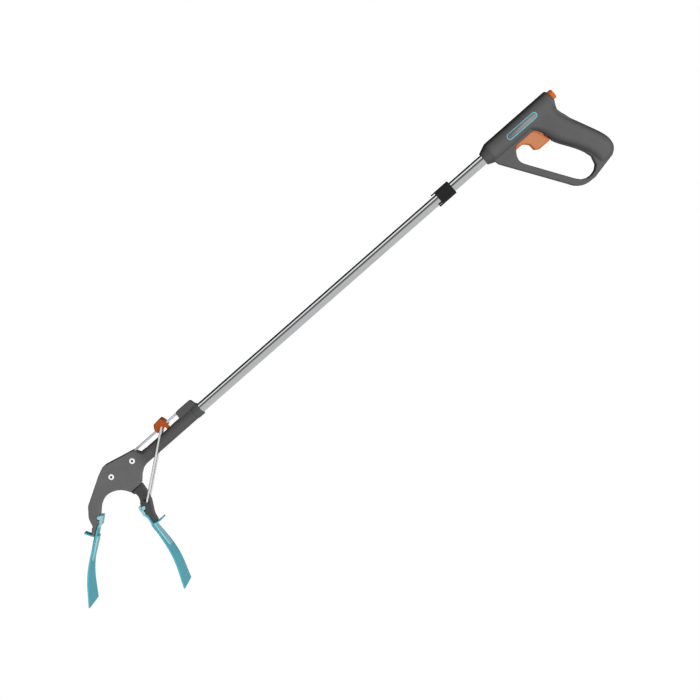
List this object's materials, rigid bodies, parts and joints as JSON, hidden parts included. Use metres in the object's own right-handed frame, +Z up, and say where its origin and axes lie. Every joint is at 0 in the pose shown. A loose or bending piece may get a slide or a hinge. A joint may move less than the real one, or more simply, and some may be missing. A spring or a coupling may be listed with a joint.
{
  "type": "reacher grabber",
  "caption": "Long hand-held reacher: pistol-grip handle and trigger on a straight tube, working a two-fingered gripping jaw at the far end.",
  "frame": {"origin": "on the tube's axis where the middle of the grip meets it", "axes": "+X along the tube from the jaw to the handle, +Z up with the grip and the jaw hanging below the tube, Y the thickness; the label is on the -Y side"},
  "size_m": [0.8681, 0.0506, 0.1835],
  "materials": {
    "handle_plastic": "moulded, fine texture",
    "head_plastic": "moulded, fine texture",
    "arm_plastic": "moulded, fine texture",
    "black_plastic": "moulded, satin",
    "orange_plastic": "moulded, satin",
    "teal_plastic": "moulded, satin",
    "label_insert": "smooth",
    "tube_aluminium": "drawn, bright",
    "rivet_steel": "bright plated",
    "wire_steel": "bright wire",
    "spring_steel": "oiled",
    "white_nylon": "smooth"
  },
  "bodies": {
    "frame": {"handle_shell_left": "handle_plastic", "handle_shell_right": "handle_plastic", "handle_screws": "rivet_steel", "label_ring": "teal_plastic", "label_plate": "label_insert", "tube": "tube_aluminium", "collar_clip": "black_plastic", "head_shell_left": "head_plastic", "head_shell_right": "head_plastic", "pivot_rivet": "rivet_steel", "body_rivet": "rivet_steel", "guide_rod": "wire_steel", "fixed_finger": "teal_plastic", "pinion_axle": "wire_steel", "front_rod_bush": "white_nylon", "middle_rod_bush": "white_nylon", "rear_rod_bush": "white_nylon", "trigger_spring": "spring_steel", "button_spring": "spring_steel"},
    "trigger": {"trigger": "orange_plastic"},
    "pinion": {"pinion": "white_nylon"},
    "push_rod": {"push_rod": "wire_steel", "rod_rack": "black_plastic", "rod_end": "black_plastic", "slider": "orange_plastic", "slider_pin": "wire_steel"},
    "link": {"link": "wire_steel"},
    "jaw": {"jaw_arm": "arm_plastic", "moving_finger": "teal_plastic", "pivot_bush": "white_nylon"},
    "lock_button": {"lock_button": "orange_plastic"}
  },
  "joints": [
    {"name": "trigger_slide", "type": "slide", "parent": "frame", "child": "trigger", "axis": [1, 0, 0], "range_m": [0, 0.01775], "stiffness_N_per_m": 500, "springref_m": -0.006, "deforming": ["trigger_spring"]},
    {"name": "pinion_turn", "type": "hinge", "parent": "frame", "child": "pinion", "pos_m": [-0.022, 0, -0.0105], "axis": [0, -1, 0], "range_deg": [0, 254.4]},
    {"name": "rod_slide", "type": "slide", "parent": "frame", "child": "push_rod", "axis": [-1, 0, 0], "range_m": [0, 0.03551]},
    {"name": "link_swing", "type": "hinge", "parent": "push_rod", "child": "link", "pos_m": [-0.5946, 0, 0.0144], "axis": [0, 1, 0], "range_deg": [0, 3.65]},
    {"name": "jaw_turn", "type": "hinge", "parent": "frame", "child": "jaw", "pos_m": [-0.6854, 0, 0.0089], "axis": [0, 1, 0], "range_deg": [0, 42.37]},
    {"name": "lock_button_press", "type": "slide", "parent": "frame", "child": "lock_button", "axis": [-1, 0, 0], "range_m": [0, 0.003], "stiffness_N_per_m": 600, "springref_m": -0.002, "deforming": ["button_spring"]}
  ],
  "couplings": [
    {"joint": "pinion_turn", "follows": "trigger_slide", "rad_per_m": 250},
    {"joint": "rod_slide", "follows": "trigger_slide", "ratio": 2},
    {"joint": "link_swing", "follows": "trigger_slide", "rad_per_m": 3.5839},
    {"joint": "jaw_turn", "follows": "trigger_slide", "rad_per_m": 41.652}
  ]
}
